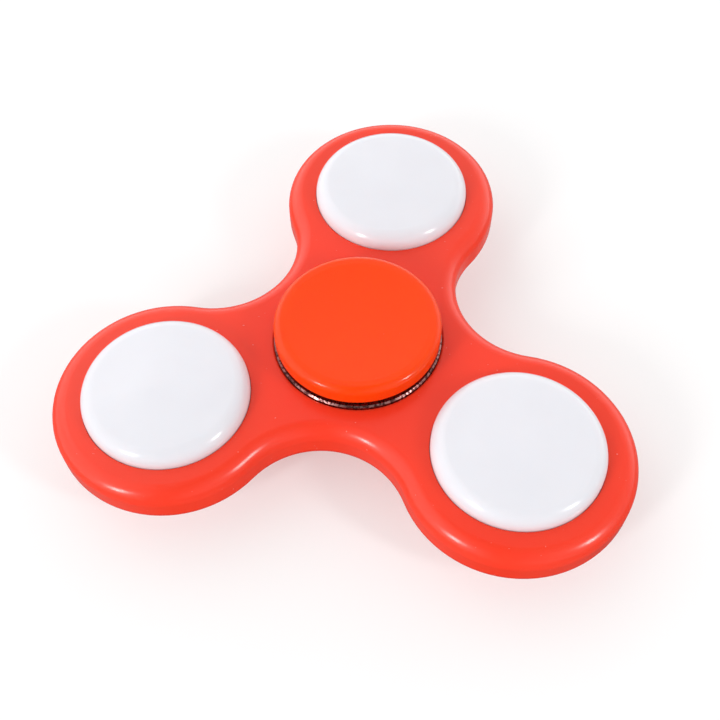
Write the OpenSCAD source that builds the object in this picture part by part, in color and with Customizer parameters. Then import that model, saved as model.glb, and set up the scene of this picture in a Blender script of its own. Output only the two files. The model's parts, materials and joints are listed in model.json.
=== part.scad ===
// Three-armed fidget spinner with a ball bearing in the middle and a press-to-light pod in each arm.
// Millimetres. The spin axis is Z, arm 1 points along +Y, and the lower finger cap rests on z = 0.

/* [Body] */
// Distance from the spin axis to the middle of each light
arm_radius = 25.9; // [25.5:0.1:26.5]
// Radius of the round end of each arm
lobe_radius = 14.9; // [14.4:0.1:15.2]
// Radius of the hollow curve between two arms
waist_radius = 11; // [10:0.5:13]
// Thickness of the moulded body
body_thickness = 6.2; // [6:0.1:6.4]
// Rounding of the body's outer edges
edge_radius = 2.1; // [1.2:0.1:2.4]

/* [Finger caps] */
// Diameter of each finger cap
finger_cap_diameter = 21.7; // [20.7:0.1:22]
// Gap between a finger cap and the body
finger_cap_gap = 1.1; // [0.8:0.1:1.4]
// Height of a finger cap from its lower edge to its rim
finger_cap_height = 2.7; // [2.5:0.1:3.5]
// Depth of the shallow hollow for the fingertip
dish_depth = 0.5; // [0.2:0.05:0.6]
// Radius of the fingertip hollow
dish_radius = 9.3; // [7:0.1:9.4]

/* [Bearing] */
// Diameter of each ball
ball_diameter = 3.969; // [3.9:0.001:3.969]
// Inner radius of the two shields
shield_hole = 6.25; // [6.15:0.05:6.5]
// Thickness of the sheet that the ball cage is pressed from
cage_sheet = 0.35; // [0.25:0.05:0.4]

/* [Light pods] */
// Diameter of the two white covers of a pod
pod_diameter = 21.6; // [21.4:0.1:21.6]
// Height that a cover stands out of the body
dome_height = 2.6; // [2.4:0.1:3]
// Rounding of a cover's rim
dome_rim = 2; // [1.6:0.1:2]
// Radius of the very flat crown of a cover
dome_crown = 90; // [70:5:140]
// Travel of a cover when it is pressed
press_travel = 0.3; // [0.2:0.05:0.3]

/* [Hidden] */
$fn = 96;

ARMS = 3;
ball_count = 7;
BALL_NODES = [for (i = [1:ball_count]) str("ball_", i)];
POD_PIECES = [
    "light_cap", "light_base", "circuit_board", "leds", "control_chip",
    "switch_housing", "switch_terminals", "switch_dome", "switch_plunger", "switch_cover",
    "button_cells", "lower_contacts", "upper_contacts"
];

// Heights are measured from the middle of the body's thickness, and mid_z lifts them to the rest plane.
face_z = body_thickness / 2;
cap_low_z = face_z + finger_cap_gap;
cap_high_z = cap_low_z + finger_cap_height;
mid_z = cap_high_z;
spill = 1; // how far a cutter runs past the face that it cuts
bond = 0.1; // how deep two pieces of one moulding run into each other

// Body: the arcs between the arms are centred where they touch both neighbouring lobes.
waist_reach = (arm_radius + sqrt(4 * pow(lobe_radius + waist_radius, 2) - 3 * pow(arm_radius, 2))) / 2;
waist_turn = 180 / ARMS;
arm_angles = [for (k = [0:ARMS - 1]) k * 360 / ARMS];
waist_angles = [for (a = arm_angles) a + waist_turn];
ledge_half = 0.8; // half height of the inner ledge that a pod clips over
ledge_radius = 9.9;
pocket_gap = 0.05; // play between a pod cover and its pocket in the body
pocket_radius = pod_diameter / 2 + pocket_gap;
pocket_edge = 0.1; // rounding of the rims of the pod holes
bearing_hole_edge = 0.3;

// Bearing of the standard 8 x 22 x 7 mm size
bearing_bore = 8;
bearing_diameter = 22;
bearing_width = 7;
race_half = bearing_width / 2;
pitch_radius = (bearing_bore + bearing_diameter) / 4;
ball_radius = ball_diameter / 2;
groove_radius = 2.1;
ball_play = 0.03;
inner_land = 6.05;
outer_land = 8.9;
race_chamfer = 0.2;
shield_radius = 9.5;
shield_low = 2.9;
shield_thickness = 0.3;
cage_inner = 6.5;
cage_outer = 8.5;
cage_play = 0.12;
cage_pocket = ball_radius + cage_play;
rivet_radius = 0.35;
rivet_head = 0.65;
rivet_head_height = 0.2;

// Finger caps
cap_radius = finger_cap_diameter / 2;
cap_rim_round = 0.9;
cap_edge_round = 0.3;
cap_skirt = 1.4;
cap_roof = 1.6;
cap_boss_radius = 6.6;
shoulder_radius = 5.9;
dish_sphere = (pow(dish_radius, 2) + pow(dish_depth, 2)) / (2 * dish_depth);
sleeve_play = 0.02;
sleeve_radius = bearing_bore / 2 - sleeve_play;
sleeve_end = 0.05; // the two sleeves end this far from the mid-plane
pin_radius = 2;
pin_reach = 2.6;
pin_play = 0.05;
pin_end_play = 0.2;
socket_reach = pin_reach + pin_end_play;

// Pods, each in the frame of its own arm
cover_radius = pod_diameter / 2;
dome_top = face_z + dome_height;
ceiling_z = 4.3;
rim_centre_r = cover_radius - dome_rim;
crown_centre_z = dome_top - dome_crown;
rim_centre_z = crown_centre_z + sqrt(pow(dome_crown - dome_rim, 2) - pow(rim_centre_r, 2));
stop_gap = 0.4; // room that is left when a cover is pressed all the way
skirt_low = 1.95;
skirt_inner = 9.95;
skirt_step_z = 3;
cavity_radius = 9.2;
wall_outer = 9.8;
wall_inner = 9;
wall_top = skirt_step_z - press_travel - stop_gap;
clip_angles = [0, 120, 240];
hook_angles = [60, 180, 300];
clip_sweep = 18;
clip_play = 0.02;
clip_reach = 0.45;
clip_lip = 0.2; // height of the barb's flat tip
clip_height = 0.7;
hook_sweep = 20;
window_sweep = 26;
hook_inner = 8.1;
hook_outer = 8.9;
hook_reach = 9.55;
hook_low = -0.9;
hook_top = -0.2;
window_play = 0.05; // above the barbs, which rest against the windows
window_room = 0.3; // below the barbs of a pressed cover
window_low = hook_low - press_travel - window_room;
window_top = hook_top + window_play;
window_outer = 9.9;

// Board, battery and switch
board_low = -0.2;
board_thickness = 0.8;
board_high = board_low + board_thickness;
board_radius = 8.8;
board_notch = 7.8;
stake_place = 6.6;
stake_post = 0.8;
stake_pin = 0.4;
stake_play = 0.05;
stake_head = 0.7;
stake_head_height = 0.3;
tray_top = -1.7;
tray_clear = 4.2;
cell_radius = 3.95;
cell_height = 3.6;
cell_place = 4.75;
cell_pocket = 4.15;
cell_lid = 3.3;
cell_lid_height = 0.3;
contact_sheet = 0.25;
contact_pad = 2.4;
contact_strap = 2.4;
cell_low = -ceiling_z + contact_sheet;
cell_high = cell_low + cell_height;
riser_turn = 70;
riser_place = 4.3;
riser_width = 1.6;
riser_notch_width = 2;
riser_notch_end = 4.75;
led_size = [2.8, 3.5, 1.9];
led_place = 5.6;
led_window = 1.15;
led_window_depth = 0.2;
chip_radius = 1.3;
chip_height = 0.8;
chip_place = 4.2;
switch_side = 5.2;
switch_height = 1.3;
switch_floor = 0.3;
switch_well = 2.05;
switch_high = board_high + switch_height;
cover_sheet = 0.2;
cover_hole = 1.2;
cover_tab = [2, 0.9];
terminal_size = [0.7, 0.7, 0.15];
terminal_place = 1.6;
snap_radius = 1.9;
snap_rise = 0.48;
snap_sheet = 0.1;
snap_sphere = (pow(snap_radius, 2) + pow(snap_rise, 2)) / (2 * snap_rise);
snap_play = 0.02;
plunger_low = board_high + switch_floor + snap_rise + snap_play;
plunger_high = 2.5;
plunger_stem = 1.1;
plunger_flange = 1.8;
plunger_flange_height = 0.3;
push_post = 1.5;

// Colours
RED = [0.95, 0.25, 0.2];
ORANGE_RED = [0.98, 0.28, 0.12];
MILK_WHITE = [0.95, 0.95, 0.97];
STEEL = [0.72, 0.73, 0.75];
BRIGHT_STEEL = [0.84, 0.85, 0.87];
BRASS = [0.85, 0.72, 0.42];
BOARD_GREEN = [0.1, 0.42, 0.2];
BLACK = [0.08, 0.08, 0.09];
LED_WHITE = [0.96, 0.95, 0.86];

// Turns children to arm k and lifts them from the mid-plane to the rest plane
module in_arm(k) {
    translate([0, 0, mid_z]) rotate(90 + arm_angles[k - 1]) translate([arm_radius, 0, 0]) children();
}

module at_middle() {
    translate([0, 0, mid_z]) children();
}

function around(angle, distance) = [distance * cos(angle), distance * sin(angle)];

// One child at each of the given angles, moved out by place
module spread(angles, place = 0) {
    for (a = angles) rotate(a) translate([place, 0, 0]) children();
}

// A round rod from z = low to z = high
module rod(r, low, high) {
    translate([0, 0, low]) cylinder(r = r, h = high - low);
}

module tube(inner, outer, low, high) {
    difference() {
        rod(outer, low, high);
        rod(inner, low - spill, high + spill);
    }
}

// Sweeps a half section through part of a turn that is centred on the +X side
module arc_sweep(sweep) {
    rotate(-sweep / 2) rotate_extrude(angle = sweep) children();
}

// Part of a ring with a rectangular section
module ring_part(inner, outer, low, high, sweep) {
    arc_sweep(sweep) translate([inner, low]) square([outer - inner, high - low]);
}

// Section of everything outside a rounded corner: the corner's arc is centred on the origin
module corner_waste(round) {
    difference() {
        square(round + spill);
        circle(round);
    }
}

// Half section of a disc between two heights, with rounded outer corners
module disc_section(r, low, high, round_low, round_high) {
    difference() {
        translate([0, low]) square([r, high - low]);
        translate([r - round_high, high - round_high]) corner_waste(round_high);
        translate([r - round_low, low + round_low]) mirror([0, 1]) corner_waste(round_low);
    }
}

// ---- Body ----

// Sets one child at each angle. The lobes and waists touch without crossing, so each is moved in two
// steps, a rounded one and a very small one, which keeps its place exact to the last digit.
module touching(angles, distance) {
    for (a = angles) {
        place = around(a, distance);
        near = [for (x = place) round(x * 1000) / 1000];
        translate(near) translate(place - near) children();
    }
}

// The round end of one arm
module lobe() {
    rotate_extrude() disc_section(lobe_radius, -face_z, face_z, edge_radius, edge_radius);
}

// The waste between two arms, shaped like a spool so that it leaves the rounded edges
module waist_waste() {
    straight = face_z - edge_radius;
    rotate_extrude() difference() {
        translate([0, -face_z - spill]) square([waist_radius + edge_radius, 2 * (face_z + spill)]);
        translate([waist_radius, -straight]) square([edge_radius + spill, 2 * straight]);
        for (side = [-1, 1]) translate([waist_radius + edge_radius, side * straight]) circle(edge_radius);
    }
}

// The middle of the body: a six-cornered slab through the arm and waist centres, hollowed by the waists
module body_middle() {
    corners = [for (k = [0:ARMS - 1], end = [0, 1])
        end == 0 ? around(arm_angles[k], arm_radius) : around(waist_angles[k], waist_reach)];
    difference() {
        translate([0, 0, -face_z]) linear_extrude(body_thickness) polygon(corners);
        touching(waist_angles, waist_reach) waist_waste();
    }
}

// Waste of a round hole through the body, with rounded rims
module hole_waste(r, edge) {
    rotate_extrude() {
        translate([0, -face_z - spill]) square([r, 2 * (face_z + spill)]);
        for (side = [0, 1]) mirror([0, side]) translate([r, face_z - edge]) difference() {
            translate([-bond, 0]) square([edge + bond, edge + spill]);
            translate([edge, 0]) circle(edge);
        }
    }
}

// Waste of a pod's place: a hole from each face down to the ledge that the pod clips over
module pod_waste() {
    difference() {
        hole_waste(pocket_radius, pocket_edge);
        tube(ledge_radius, pocket_radius + spill, -ledge_half, ledge_half);
    }
}

module body() {
    color(RED) at_middle() rotate(90) difference() {
        union() {
            body_middle();
            touching(arm_angles, arm_radius) lobe();
        }
        hole_waste(bearing_diameter / 2, bearing_hole_edge);
        spread(arm_angles, arm_radius) pod_waste();
    }
}

// ---- Finger caps ----

// Dished button with a hollow underside and the shoulder and sleeve that fit the inner race
module finger_button() {
    rotate_extrude() difference() {
        union() {
            disc_section(cap_radius, cap_low_z, cap_high_z, cap_edge_round, cap_rim_round);
            translate([0, race_half]) square([shoulder_radius, cap_low_z - race_half + bond]);
            translate([0, sleeve_end]) square([sleeve_radius, race_half - sleeve_end + bond]);
        }
        translate([cap_boss_radius, cap_low_z - spill])
            square([cap_radius - cap_skirt - cap_boss_radius, finger_cap_height - cap_roof + spill]);
        translate([0, cap_high_z + dish_sphere - dish_depth]) circle(dish_sphere, $fn = 720);
    }
}

module finger_cap_upper() {
    color(ORANGE_RED) at_middle() {
        finger_button();
        rod(pin_radius, -pin_reach, sleeve_end + bond);
    }
}

module finger_cap_lower() {
    color(ORANGE_RED) at_middle() difference() {
        mirror([0, 0, 1]) finger_button();
        rod(pin_radius + pin_play, -socket_reach, spill);
    }
}

// ---- Bearing ----

ball_angles = [for (i = [0:ball_count - 1]) 90 + i * 360 / ball_count];

// Raceway groove, centred at the given radius
module raceway(r) {
    translate([r, 0]) circle(groove_radius);
}

module chamfer_waste(r, z) {
    translate([r, z]) rotate(45) square(race_chamfer * sqrt(2), center = true);
}

module bearing_outer_race() {
    r = bearing_diameter / 2;
    color(STEEL) at_middle() rotate_extrude() difference() {
        translate([outer_land, -race_half]) square([r - outer_land, bearing_width]);
        raceway(pitch_radius + ball_radius + ball_play - groove_radius);
        for (side = [-1, 1]) {
            chamfer_waste(r, side * race_half);
            translate([outer_land - spill, side > 0 ? shield_low : -race_half - spill])
                square([shield_radius - outer_land + spill, race_half - shield_low + spill]);
        }
    }
}

module bearing_inner_race() {
    r = bearing_bore / 2;
    color(STEEL) at_middle() rotate_extrude() difference() {
        translate([r, -race_half]) square([inner_land - r, bearing_width]);
        raceway(pitch_radius - ball_radius - ball_play + groove_radius);
        for (side = [-1, 1]) chamfer_waste(r, side * race_half);
    }
}

module shield() {
    tube(shield_hole, shield_radius, shield_low, shield_low + shield_thickness);
}

module bearing_shield_upper() {
    color(STEEL) at_middle() shield();
}

module bearing_shield_lower() {
    color(STEEL) at_middle() mirror([0, 0, 1]) shield();
}

module ball(i) {
    color(BRIGHT_STEEL) at_middle() spread([ball_angles[i - 1]], pitch_radius) sphere(ball_radius);
}

rivet_angles = [for (a = ball_angles) a + 180 / ball_count];

// Pressed ribbon of the ball cage: flat webs with a half-round cup over each ball
module cage_half() {
    difference() {
        intersection() {
            tube(cage_inner, cage_outer, 0, ball_radius + spill);
            union() {
                rod(cage_outer + spill, 0, cage_sheet);
                spread(ball_angles, pitch_radius) sphere(cage_pocket + cage_sheet);
            }
        }
        spread(ball_angles, pitch_radius) sphere(cage_pocket);
        spread(rivet_angles, pitch_radius) rod(rivet_radius, -spill, cage_sheet + spill);
    }
}

module bearing_cage_upper() {
    color(BRIGHT_STEEL) at_middle() cage_half();
}

module bearing_cage_lower() {
    color(BRIGHT_STEEL) at_middle() mirror([0, 0, 1]) cage_half();
}

module bearing_cage_rivets() {
    end = cage_sheet + rivet_head_height;
    color(BRIGHT_STEEL) at_middle() spread(rivet_angles, pitch_radius) {
        rod(rivet_radius, -end, end);
        rod(rivet_head, cage_sheet, end);
        rod(rivet_head, -end, -cage_sheet);
    }
}

// ---- Light pods ----

// Half section of a cover's outside, from z = low up to the crown, with a rim that runs smoothly into it
module cover_section(low) {
    lean = atan2(rim_centre_r, rim_centre_z - crown_centre_z);
    rim_end = around(90 - lean, dome_rim + spill);
    difference() {
        intersection() {
            translate([0, low]) square([cover_radius, dome_top - low + spill]);
            translate([0, crown_centre_z]) circle(dome_crown, $fn = 720);
        }
        translate([rim_centre_r, rim_centre_z]) difference() {
            polygon([[0, 0], [dome_rim + spill, 0], [dome_rim + spill, rim_end[1]], rim_end]);
            circle(dome_rim);
        }
    }
}

// Snap hook under the pressed cover: a leg with a barb at its foot
module hook() {
    ramp_end = hook_low + hook_reach - hook_outer - bond;
    ring_part(hook_inner, hook_outer, hook_low, ceiling_z + bond, hook_sweep);
    arc_sweep(hook_sweep) polygon([
        [hook_outer - bond, hook_low], [hook_outer, hook_low], [hook_reach, ramp_end],
        [hook_reach, hook_top], [hook_outer - bond, hook_top]
    ]);
}

module light_cap(k) {
    color(MILK_WHITE) in_arm(k) {
        rotate_extrude() difference() {
            cover_section(skirt_low);
            translate([0, skirt_low - spill]) square([skirt_inner, skirt_step_z - skirt_low + spill]);
            square([cavity_radius, ceiling_z]);
        }
        rod(push_post, plunger_high, ceiling_z + bond);
        spread(hook_angles) hook();
    }
}

// Barb of the base that snaps over the body's ledge
module ledge_clip() {
    low = ledge_half + clip_play;
    tip = ledge_radius + clip_reach;
    arc_sweep(clip_sweep) polygon([
        [wall_outer - bond, low], [tip, low], [tip, low + clip_lip],
        [wall_outer, low + clip_height], [wall_outer - bond, low + clip_height]
    ]);
}

// Post, pin and melted head that hold the board down
module board_stake() {
    rod(stake_post, tray_top - bond, board_low);
    rod(stake_pin, board_low - bond, board_high + bond);
    rod(stake_head, board_high, board_high + stake_head_height);
}

// Room for the battery contact that climbs from the floor to the board
module riser_waste() {
    translate([cell_place, 0, 0]) rotate(riser_turn)
        translate([0, -riser_notch_width / 2, -ceiling_z])
            cube([riser_notch_end, riser_notch_width, ceiling_z]);
}

// Moulded tray that holds the three button cells apart
module battery_tray() {
    difference() {
        rod(wall_inner + bond, -ceiling_z - bond, tray_top);
        spread(clip_angles, cell_place) rod(cell_pocket, -ceiling_z, 0);
        rod(tray_clear, -ceiling_z, 0);
        riser_waste();
    }
}

module light_base(k) {
    color(MILK_WHITE) in_arm(k) {
        difference() {
            union() {
                mirror([0, 0, 1]) rotate_extrude() difference() {
                    cover_section(ledge_half);
                    square([wall_inner, ceiling_z]);
                }
                tube(wall_inner, wall_outer, -ledge_half - bond, wall_top);
            }
            spread(hook_angles)
                ring_part(wall_inner - bond, window_outer, window_low, window_top, window_sweep);
        }
        battery_tray();
        spread(clip_angles) ledge_clip();
        spread(hook_angles, stake_place) board_stake();
    }
}

module circuit_board(k) {
    low = board_low - spill;
    high = board_high + spill;
    color(BOARD_GREEN) in_arm(k) difference() {
        rod(board_radius, board_low, board_high);
        spread(hook_angles) ring_part(board_notch, board_radius + spill, low, high, window_sweep);
        spread(hook_angles, stake_place) rod(stake_pin + stake_play, low, high);
    }
}

module led() {
    difference() {
        translate([-led_size[0] / 2, -led_size[1] / 2, board_high]) cube(led_size);
        rod(led_window, board_high + led_size[2] - led_window_depth, board_high + led_size[2] + spill);
    }
}

module leds(k) {
    color(LED_WHITE) in_arm(k) spread(clip_angles, led_place) led();
}

// Drop of resin over the flashing circuit
module control_chip(k) {
    ball = (pow(chip_radius, 2) + pow(chip_height, 2)) / (2 * chip_height);
    color(BLACK) in_arm(k) translate([-chip_place, 0, board_high]) intersection() {
        translate([0, 0, chip_height - ball]) sphere(ball);
        rod(chip_radius + spill, 0, chip_height + spill);
    }
}

// ---- Press switch of a pod ----

module switch_block(low, high) {
    translate([-switch_side / 2, -switch_side / 2, low]) cube([switch_side, switch_side, high - low]);
}

module switch_housing(k) {
    color(BLACK) in_arm(k) difference() {
        switch_block(board_high, switch_high);
        rod(switch_well, board_high + switch_floor, switch_high + spill);
    }
}

module switch_terminals(k) {
    near = -terminal_size[1] / 2;
    color(BRIGHT_STEEL) in_arm(k) for (turn = [0, 180], side = [-1, 1])
        rotate(turn) translate([switch_side / 2, side * terminal_place + near, board_high])
            cube(terminal_size);
}

// Thin sprung disc that clicks when the plunger pushes it
module switch_dome(k) {
    foot = board_high + switch_floor;
    color(BRIGHT_STEEL) in_arm(k) translate([0, 0, foot]) rotate_extrude() intersection() {
        translate([0, snap_rise - snap_sphere]) difference() {
            circle(snap_sphere);
            circle(snap_sphere - snap_sheet);
        }
        square([snap_radius + spill, snap_rise + spill]);
    }
}

module switch_plunger(k) {
    color(BLACK) in_arm(k) {
        rod(plunger_stem, plunger_low, plunger_high);
        rod(plunger_flange, plunger_low, plunger_low + plunger_flange_height);
    }
}

module switch_cover(k) {
    color(BRIGHT_STEEL) in_arm(k) {
        difference() {
            switch_block(switch_high, switch_high + cover_sheet);
            rod(cover_hole, switch_high - spill, switch_high + cover_sheet + spill);
        }
        for (turn = [90, 270]) rotate(turn)
            translate([switch_side / 2, -cover_tab[0] / 2, switch_high + cover_sheet - cover_tab[1]])
                cube([cover_sheet, cover_tab[0], cover_tab[1]]);
    }
}

// ---- Battery of a pod ----

// Button cell from cell_low to cell_high, with its smaller lid at the top or, flipped, at the bottom
module cell(flipped) {
    translate([0, 0, (cell_low + cell_high) / 2]) mirror([0, 0, flipped ? 1 : 0]) rotate_extrude() {
        translate([0, -cell_height / 2]) square([cell_radius, cell_height - cell_lid_height]);
        translate([0, -cell_height / 2]) square([cell_lid, cell_height]);
    }
}

module button_cells(k) {
    color(BRIGHT_STEEL) in_arm(k) for (i = [0:2]) spread([clip_angles[i]], cell_place) cell(i == 1);
}

// Sheet that joins the cells on either side of the given hook angle
module cell_bridge(angle, low) {
    near = cell_place * cos(waist_turn);
    half = cell_place * sin(waist_turn);
    translate([0, 0, low]) linear_extrude(contact_sheet) rotate(angle) {
        translate([near - contact_strap / 2, -half]) square([contact_strap, 2 * half]);
        for (side = [-1, 1]) translate([near, side * half]) circle(contact_pad);
    }
}

module lower_contacts(k) {
    low = -ceiling_z;
    color(BRASS) in_arm(k) {
        cell_bridge(hook_angles[1], low);
        translate([cell_place, 0, 0]) {
            rod(contact_pad, low, low + contact_sheet);
            rotate(riser_turn) translate([0, -riser_width / 2, low]) {
                cube([riser_place + contact_sheet, riser_width, contact_sheet]);
                translate([riser_place, 0, 0]) cube([contact_sheet, riser_width, board_low - low]);
            }
        }
    }
}

module upper_contacts(k) {
    low = board_low - contact_sheet;
    color(BRASS) in_arm(k) {
        cell_bridge(hook_angles[0], low);
        spread([clip_angles[2]], cell_place) rod(contact_pad, low, low + contact_sheet);
    }
}

body();
finger_cap_upper();
finger_cap_lower();
bearing_outer_race();
bearing_inner_race();
bearing_shield_upper();
bearing_shield_lower();
bearing_cage_upper();
bearing_cage_lower();
bearing_cage_rivets();
for (i = [1:ball_count]) ball(i);
for (k = [1:ARMS]) {
    light_cap(k);
    light_base(k);
    circuit_board(k);
    leds(k);
    control_chip(k);
    switch_housing(k);
    switch_terminals(k);
    switch_dome(k);
    switch_plunger(k);
    switch_cover(k);
    button_cells(k);
    lower_contacts(k);
    upper_contacts(k);
}
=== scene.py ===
"""Looks of a three-armed fidget spinner with press-to-light pods. Metres, in the CAD model's own frame."""
import json
import math

import bpy
from mathutils import Matrix, Vector


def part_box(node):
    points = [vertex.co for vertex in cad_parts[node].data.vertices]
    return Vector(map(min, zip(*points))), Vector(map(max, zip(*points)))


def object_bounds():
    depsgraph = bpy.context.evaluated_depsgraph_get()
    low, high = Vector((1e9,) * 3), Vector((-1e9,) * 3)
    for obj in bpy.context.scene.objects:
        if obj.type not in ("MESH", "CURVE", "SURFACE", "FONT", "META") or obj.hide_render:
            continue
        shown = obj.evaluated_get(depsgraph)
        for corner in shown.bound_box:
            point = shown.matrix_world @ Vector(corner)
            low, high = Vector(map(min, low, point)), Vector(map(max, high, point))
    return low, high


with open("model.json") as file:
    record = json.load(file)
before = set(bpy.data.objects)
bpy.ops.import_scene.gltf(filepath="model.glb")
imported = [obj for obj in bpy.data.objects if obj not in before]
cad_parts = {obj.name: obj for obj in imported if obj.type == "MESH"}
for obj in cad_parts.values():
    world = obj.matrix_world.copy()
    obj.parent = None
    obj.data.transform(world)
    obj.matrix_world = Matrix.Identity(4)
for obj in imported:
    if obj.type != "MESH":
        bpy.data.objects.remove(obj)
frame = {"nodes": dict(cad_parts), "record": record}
cad_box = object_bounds()

MM = 0.001
BODY_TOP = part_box("body")[1].z
FLOOR_LEVEL = cad_box[0].z
FLOOR_SIZE = 4.0
FLOOR_SQUARES = 8

# Camera: it looks down at the spinner from the front, a little from the right.
CAMERA_AZIMUTH = math.radians(12.89)
CAMERA_ELEVATION = math.radians(58.15)
CAMERA_ROLL = math.radians(-2.18)
CAMERA_DISTANCE = 128.45 * MM
CAMERA_TARGET = Vector((0, -7.7 * MM, BODY_TOP))
CAMERA_LENS = 50.35
CAMERA_SHIFT = (0.0187, 0.0361)

# Lamps: name, azimuth and elevation in degrees, then distance, width and height in metres, and radiance.
# The strips stand where the small highlights on the rims need them.
LAMPS = (
    ("strip_left", -33.6, 29.0, 0.66, 0.09, 0.17, 27.0),
    ("strip_right", 69.5, 30.7, 0.68, 0.09, 0.17, 24.0),
    ("soft_box_back", -125.0, 36.0, 0.28, 0.2, 0.2, 0.4),
)
# Soft surroundings: an even glow, and how bright each side is (axis, sign along that axis, radiance).
# A side rises from dark to full between the two shares of the way along its axis.
GLOW = 0.05
SIDES = (("X", -1, 1.2), ("X", 1, 0.62), ("Y", -1, 0.14))
SIDE_RISE = (-0.1, 0.6)
# The back wall fades out towards the ceiling, which keeps a share of it: the flat tops mirror that.
BACK_WALL = 1.75
BACK_RISE = (0, 0.7)
BACK_FADE = (0.2, 0.8)
CEILING_SHARE = 0.4
# Below the horizon the surroundings keep only this share of their brightness.
HORIZON = (-0.1, 0.05)
BELOW_HORIZON = 0.2

# Colours. A pair is a colour and the tint that its clouds or marks take on.
BODY_RED = ((0.95, 0.05, 0.018), (0.9, 0.044, 0.015))
CAP_ORANGE = ((0.97, 0.064, 0.003), (0.93, 0.059, 0.002))
COVER_WHITE = ((0.81, 0.805, 0.85), (0.79, 0.785, 0.83))
# Race steel is coloured dark and reddish: a painted reflection of the red plastic and the shade under the
# cap, not the steel's own tone.
RACE_STEEL_WITH_PAINTED_REFLECTION = ((0.4, 0.2, 0.19), (0.07, 0.028, 0.026))
BOARD_GREEN = ((0.02, 0.16, 0.05), (0.035, 0.24, 0.08))
LED_CREAM = ((0.85, 0.83, 0.68), (0.8, 0.78, 0.6))
RESIN_BLACK = ((0.02, 0.02, 0.022), (0.03, 0.03, 0.032))
FLOOR_WHITE = ((0.62, 0.62, 0.62), (0.6, 0.6, 0.6))
SHEET_STEEL = (0.6, 0.6, 0.62)
BALL_STEEL = (0.75, 0.75, 0.77)
CELL_STEEL = (0.7, 0.7, 0.72)
BRASS = (0.72, 0.52, 0.24)
DUST = (0.9, 0.45, 0.4)
WHITE = (1, 1, 1, 1)
FLOOR_LIGHT = 0.36


class Surface:
    """A principled material whose colour, roughness and bump come from procedural patterns."""

    def __init__(self, name, metallic=0.0, ior=1.5, **sockets):
        self.material = bpy.data.materials.new(name)
        self.material.use_nodes = True
        self.tree = self.material.node_tree
        self.tree.nodes.clear()
        output = self.tree.nodes.new("ShaderNodeOutputMaterial")
        self.shader = self.tree.nodes.new("ShaderNodeBsdfPrincipled")
        self.tree.links.new(self.shader.outputs["BSDF"], output.inputs["Surface"])
        self.shader.inputs["Metallic"].default_value = metallic
        self.shader.inputs["IOR"].default_value = ior
        for label, value in sockets.items():
            self.shader.inputs[label.replace("_", " ").title()].default_value = value
        self.place = self.tree.nodes.new("ShaderNodeTexCoord").outputs["Object"]

    def node(self, kind, **inputs):
        """A new node with its inputs set to numbers or linked to sockets."""
        made = self.tree.nodes.new(kind)
        for label, value in inputs.items():
            self.feed(made.inputs[label.replace("_", " ")], value)
        return made

    def feed(self, socket, value):
        if isinstance(value, bpy.types.NodeSocket):
            self.tree.links.new(value, socket)
        else:
            socket.default_value = value

    def noise(self, size, detail=2.0, stretch=(1, 1, 1), roughness=0.5):
        """Noise from 0 to 1 with blobs of about the given size, in metres."""
        mapping = self.node("ShaderNodeMapping", Vector=self.place, Scale=stretch)
        made = self.node("ShaderNodeTexNoise", Vector=mapping.outputs["Vector"], Scale=1 / size,
                         Detail=detail, Roughness=roughness)
        return made.outputs["Fac"]

    def spread(self, value, low, high, at=(0.3, 0.7), smooth=False):
        """Maps a pattern's range at[0]..at[1] to low..high."""
        made = self.node("ShaderNodeMapRange", Value=value)
        made.interpolation_type = "SMOOTHSTEP" if smooth else "LINEAR"
        for index, number in enumerate((*at, low, high), start=1):
            made.inputs[index].default_value = number
        return made.outputs["Result"]

    def blend(self, share, first, second):
        """A colour between two colours."""
        made = self.tree.nodes.new("ShaderNodeMix")
        made.data_type = "RGBA"
        colours = [socket for socket in made.inputs if socket.type == "RGBA"]
        self.feed(made.inputs["Factor"], share)
        for socket, colour in zip(colours, (first, second)):
            self.feed(socket, colour if isinstance(colour, bpy.types.NodeSocket) else (*colour, 1))
        return next(socket for socket in made.outputs if socket.type == "RGBA")

    def colour(self, value):
        self.feed(self.shader.inputs["Base Color"], value)

    def roughness(self, value):
        self.feed(self.shader.inputs["Roughness"], value)

    def bump(self, height, depth, strength=1.0):
        """Raises the surface by up to depth metres, as the pattern goes from 0 to 1."""
        last = self.shader.inputs["Normal"].links
        made = self.node("ShaderNodeBump", Height=height, Distance=depth, Strength=strength)
        if last:
            self.tree.links.new(last[0].from_socket, made.inputs["Normal"])
        self.tree.links.new(made.outputs["Normal"], self.shader.inputs["Normal"])


def moulded_plastic(name, colours, rough, gloss, dust):
    """Moulded plastic that lets a little light in: faint flow clouds, a fine skin and a few dust specks."""
    surface = Surface(name, subsurface_weight=0.4, subsurface_scale=0.7 * MM)
    surface.shader.inputs["Subsurface Radius"].default_value = (1.0, 0.35, 0.2)
    surface.shader.inputs["Specular IOR Level"].default_value = gloss
    clouds = surface.noise(9 * MM)
    base = surface.blend(clouds, *colours)
    specks = surface.spread(surface.noise(0.35 * MM, detail=0), 0, dust, at=(0.86, 0.9))
    surface.colour(surface.blend(specks, base, DUST))
    surface.roughness(surface.spread(clouds, rough - 0.03, rough + 0.03, at=(0, 1)))
    surface.bump(surface.noise(0.4 * MM), 0.001 * MM, 0.5)
    return surface.material


def milky_plastic(name):
    """White plastic that lets some light in, so its edges glow."""
    surface = Surface(name, subsurface_weight=0.35, subsurface_scale=1 * MM)
    surface.shader.inputs["Subsurface Radius"].default_value = (1.2, 1.0, 0.95)
    clouds = surface.noise(7 * MM, detail=2)
    surface.colour(surface.blend(surface.spread(clouds, 0, 1), *COVER_WHITE))
    surface.roughness(surface.spread(surface.noise(2 * MM, detail=4), 0.14, 0.2))
    surface.bump(surface.noise(0.4 * MM, detail=2), 0.001 * MM, 0.5)
    return surface.material


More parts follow.
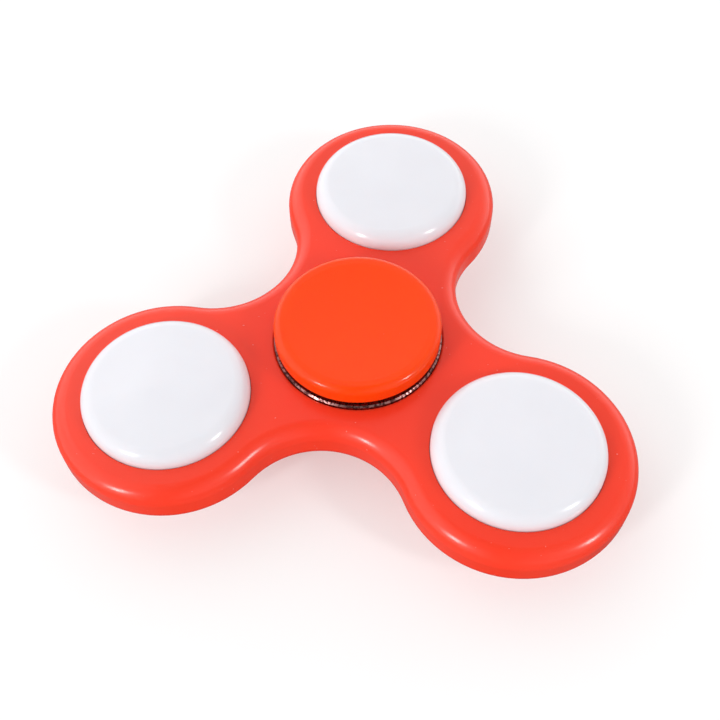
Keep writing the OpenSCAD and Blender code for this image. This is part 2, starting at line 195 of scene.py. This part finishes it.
def ground_steel(name, colours, rough):
    """Steel ground in a lathe: fine rings about the spin axis, mottled by handling, in colours that hold a
    painted reflection of its surroundings.
    """
    surface = Surface(name, metallic=1.0)
    rings = surface.node("ShaderNodeTexWave", Vector=surface.place, Scale=1 / (0.9 * MM), Distortion=1.5,
                         Detail=3.0, Detail_Scale=2.0)
    rings.wave_type = "RINGS"
    rings.rings_direction = "Z"
    lines = rings.outputs["Fac"]
    mottle = surface.spread(surface.noise(0.4 * MM, detail=4), 0, 1, at=(0.4, 0.6), smooth=True)
    # The colours hold a painted reflection (dark red for the races); the mottle varies them at random.
    surface.colour(surface.blend(mottle, *colours))
    surface.roughness(surface.spread(mottle, rough, rough + 0.15, at=(0, 1)))
    surface.bump(lines, 0.002 * MM, 0.5)
    return surface.material


def rolled_sheet(name, tone, rough):
    """Sheet metal with fine lines along the direction it was rolled in."""
    surface = Surface(name, metallic=1.0)
    lines = surface.noise(0.25 * MM, detail=4, stretch=(1, 0.04, 1))
    surface.colour(surface.blend(lines, tone, tuple(0.82 * part for part in tone)))
    surface.roughness(surface.spread(lines, rough, rough + 0.12))
    surface.bump(lines, 0.002 * MM, 0.5)
    return surface.material


def polished_metal(name, tone, rough):
    """Bright metal with a breath of oil and hairline marks."""
    surface = Surface(name, metallic=1.0)
    film = surface.noise(1.5 * MM, detail=5)
    surface.colour(surface.blend(film, tone, tuple(0.9 * part for part in tone)))
    surface.roughness(surface.spread(film, rough, rough + 0.08))
    surface.bump(surface.noise(0.12 * MM, detail=2, stretch=(1, 0.1, 1)), 0.001 * MM, 0.4)
    return surface.material


def solder_mask(name):
    """Green lacquer over glass weave and copper tracks."""
    surface = Surface(name)
    weave = surface.node("ShaderNodeTexChecker", Vector=surface.place, Scale=1 / (0.5 * MM))
    tracks = surface.spread(surface.noise(1.6 * MM, detail=0), 0, 1, at=(0.49, 0.51))
    surface.colour(surface.blend(tracks, *BOARD_GREEN))
    surface.roughness(surface.spread(surface.noise(0.8 * MM), 0.25, 0.4))
    surface.bump(weave.outputs["Fac"], 0.01 * MM, 0.3)
    surface.bump(tracks, 0.03 * MM, 0.6)
    return surface.material


def small_resin(name, colours, rough):
    """Moulded resin of a small electronic piece, with a slightly grainy skin."""
    surface = Surface(name)
    grain = surface.noise(0.15 * MM, detail=3)
    surface.colour(surface.blend(grain, *colours))
    surface.roughness(surface.spread(grain, rough, rough + 0.15))
    surface.bump(grain, 0.004 * MM, 0.6)
    return surface.material


def pale_floor(name):
    """Matt white table top, lit a little from inside."""
    surface = Surface(name)
    surface.colour(surface.blend(surface.noise(0.1, detail=2), *FLOOR_WHITE))
    surface.shader.inputs["Emission Color"].default_value = WHITE
    surface.shader.inputs["Emission Strength"].default_value = FLOOR_LIGHT
    surface.roughness(surface.spread(surface.noise(0.01, detail=2), 0.6, 0.7))
    surface.bump(surface.noise(0.002), 0.00002, 0.3)
    return surface.material


def material_of_slots():
    """One material for each of the record's slots."""
    return {
        "body_plastic": moulded_plastic("body_plastic", BODY_RED, rough=0.23, gloss=0.5, dust=0.4),
        "cap_plastic": moulded_plastic("cap_plastic", CAP_ORANGE, rough=0.17, gloss=0.3, dust=0.1),
        "light_cover": milky_plastic("light_cover"),
        "race_steel": ground_steel("race_steel", RACE_STEEL_WITH_PAINTED_REFLECTION, rough=0.24),
        "sheet_steel": rolled_sheet("sheet_steel", SHEET_STEEL, rough=0.25),
        "ball_steel": polished_metal("ball_steel", BALL_STEEL, rough=0.06),
        "board_laminate": solder_mask("board_laminate"),
        "led_resin": small_resin("led_resin", LED_CREAM, rough=0.3),
        "black_resin": small_resin("black_resin", RESIN_BLACK, rough=0.4),
        "contact_brass": rolled_sheet("contact_brass", BRASS, rough=0.22),
        "cell_steel": polished_metal("cell_steel", CELL_STEEL, rough=0.14),
    }


def dress_cad_nodes():
    """Gives each CAD node the material of its slot in the record."""
    materials = material_of_slots()
    for part in frame["record"]["subparts"]:
        node = frame["nodes"][part["node"]]
        node.data.materials.clear()
        node.data.materials.append(materials[part["material_slot"]])


def make_floor():
    """Plain pale floor at the height of the lowest point, a grid of equal squares.

    Mirror-like reflections leave it out, so that the near sides of the object keep their colour."""
    corners = range(FLOOR_SQUARES + 1)
    verts = [(FLOOR_SIZE * (i / FLOOR_SQUARES - 0.5), FLOOR_SIZE * (j / FLOOR_SQUARES - 0.5), FLOOR_LEVEL)
             for j in corners for i in corners]
    row = len(corners)
    first_corners = [i + j * row for j in range(FLOOR_SQUARES) for i in range(FLOOR_SQUARES)]
    faces = [(corner, corner + 1, corner + row + 1, corner + row) for corner in first_corners]
    mesh = bpy.data.meshes.new("floor")
    mesh.from_pydata(verts, [], faces)
    mesh.materials.append(pale_floor("floor"))
    floor = bpy.data.objects.new("floor", mesh)
    floor.visible_glossy = False
    bpy.context.scene.collection.objects.link(floor)


def direction(azimuth, elevation):
    """Unit vector from the object towards the given azimuth and elevation, in radians."""
    level = math.cos(elevation)
    return Vector((math.sin(azimuth) * level, -math.cos(azimuth) * level, math.sin(elevation)))


def make_lamps():
    """Two small strip lamps in front, left and right, and a faint soft box close by at the back left."""
    for name, azimuth, elevation, distance, width, height, radiance in LAMPS:
        data = bpy.data.lights.new(name, "AREA")
        data.shape = "RECTANGLE"
        data.size = width
        data.size_y = height
        data.energy = radiance * math.pi * width * height
        lamp = bpy.data.objects.new(name, data)
        towards = direction(math.radians(azimuth), math.radians(elevation))
        lamp.location = towards * distance
        lamp.rotation_euler = towards.to_track_quat("Z", "Y").to_euler()
        bpy.context.scene.collection.objects.link(lamp)


def make_surroundings():
    """A studio with a bright back wall and bright sides, a dim front and a dim ceiling."""
    world = bpy.data.worlds.new("studio")
    world.use_nodes = True
    tree = world.node_tree

    def ramp(value, start, end, low, high):
        made = tree.nodes.new("ShaderNodeMapRange")
        made.interpolation_type = "SMOOTHSTEP"
        tree.links.new(value, made.inputs["Value"])
        for label, number in (("From Min", start), ("From Max", end), ("To Min", low), ("To Max", high)):
            made.inputs[label].default_value = number
        return made.outputs["Result"]

    def join(operation, first, second):
        made = tree.nodes.new("ShaderNodeMath")
        made.operation = operation
        tree.links.new(first, made.inputs[0])
        if isinstance(second, bpy.types.NodeSocket):
            tree.links.new(second, made.inputs[1])
        else:
            made.inputs[1].default_value = second
        return made.outputs["Value"]

    parts = tree.nodes.new("ShaderNodeSeparateXYZ")
    tree.links.new(tree.nodes.new("ShaderNodeTexCoord").outputs["Generated"], parts.inputs["Vector"])
    total = join("MULTIPLY", ramp(parts.outputs["Y"], *BACK_RISE, 0, BACK_WALL),
                 ramp(parts.outputs["Z"], *BACK_FADE, 1, CEILING_SHARE))
    for axis, sign, radiance in SIDES:
        start, end = (sign * share for share in SIDE_RISE)
        total = join("MAXIMUM", total, ramp(parts.outputs[axis], start, end, 0, radiance))
    background = tree.nodes["Background"]
    background.inputs["Color"].default_value = WHITE
    total = join("MULTIPLY", join("ADD", total, GLOW),
                 ramp(parts.outputs["Z"], *HORIZON, BELOW_HORIZON, 1))
    tree.links.new(total, background.inputs["Strength"])
    bpy.context.scene.world = world
    bpy.context.scene.view_settings.view_transform = "Standard"


def make_camera():
    """Camera turned about its own axis by the roll."""
    back = direction(CAMERA_AZIMUTH, CAMERA_ELEVATION)
    level = Vector((0, 0, 1)).cross(back).normalized()
    upright = back.cross(level)
    right = math.cos(CAMERA_ROLL) * level + math.sin(CAMERA_ROLL) * upright
    up = math.cos(CAMERA_ROLL) * upright - math.sin(CAMERA_ROLL) * level
    data = bpy.data.cameras.new("camera")
    data.lens = CAMERA_LENS
    data.shift_x, data.shift_y = CAMERA_SHIFT
    data.clip_start = 0.01
    camera = bpy.data.objects.new("camera", data)
    camera.matrix_world = (Matrix.Translation(CAMERA_TARGET + back * CAMERA_DISTANCE)
                           @ Matrix((right, up, back)).transposed().to_4x4())
    bpy.context.scene.collection.objects.link(camera)
    bpy.context.scene.camera = camera


dress_cad_nodes()
make_floor()
make_lamps()
make_surroundings()
make_camera()
